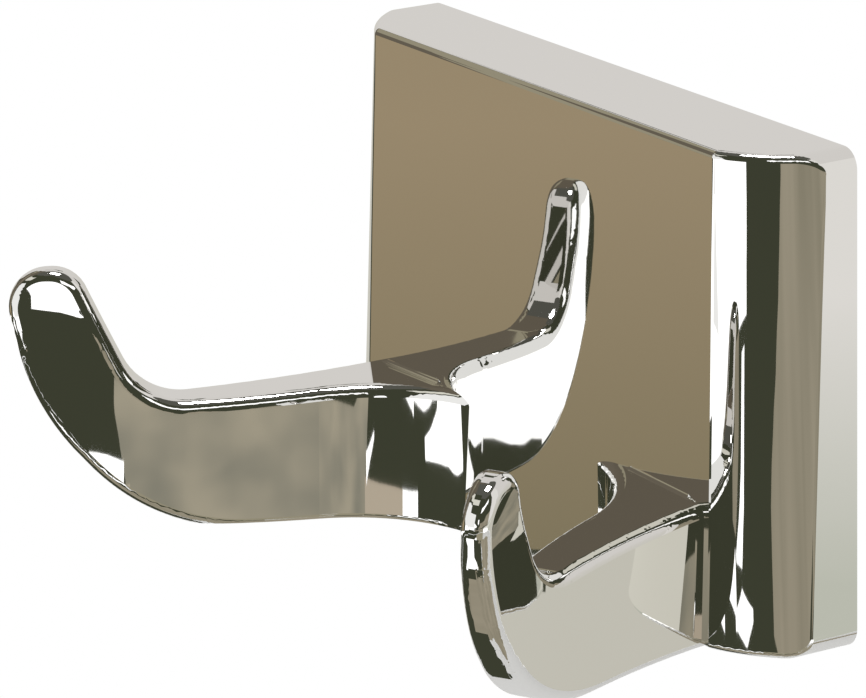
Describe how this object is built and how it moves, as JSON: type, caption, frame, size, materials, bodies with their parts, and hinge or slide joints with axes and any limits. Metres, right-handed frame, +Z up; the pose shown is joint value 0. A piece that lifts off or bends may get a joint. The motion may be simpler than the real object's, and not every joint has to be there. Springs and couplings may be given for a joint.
{
  "type": "double robe hook",
  "caption": "Polished chrome robe hook: a wall plate with sloped sides and splayed, upturned arms, hung on a hidden bent bracket and locked from below by a set screw.",
  "frame": {"origin": "middle of the plate's back, on the wall plane", "axes": "+Z up, +Y into the wall, so the arms stand out towards -Y; +X to the right as seen from the front"},
  "size_m": [0.0716, 0.0401, 0.0412],
  "materials": {
    "chrome": "polished chrome plate on a zinc casting",
    "bracket_steel": "zinc plated",
    "screw_steel": "dark, lightly oiled"
  },
  "bodies": {
    "root": {"hook_body": "chrome", "wall_bracket": "bracket_steel", "set_screw": "screw_steel"}
  },
  "joints": []
}
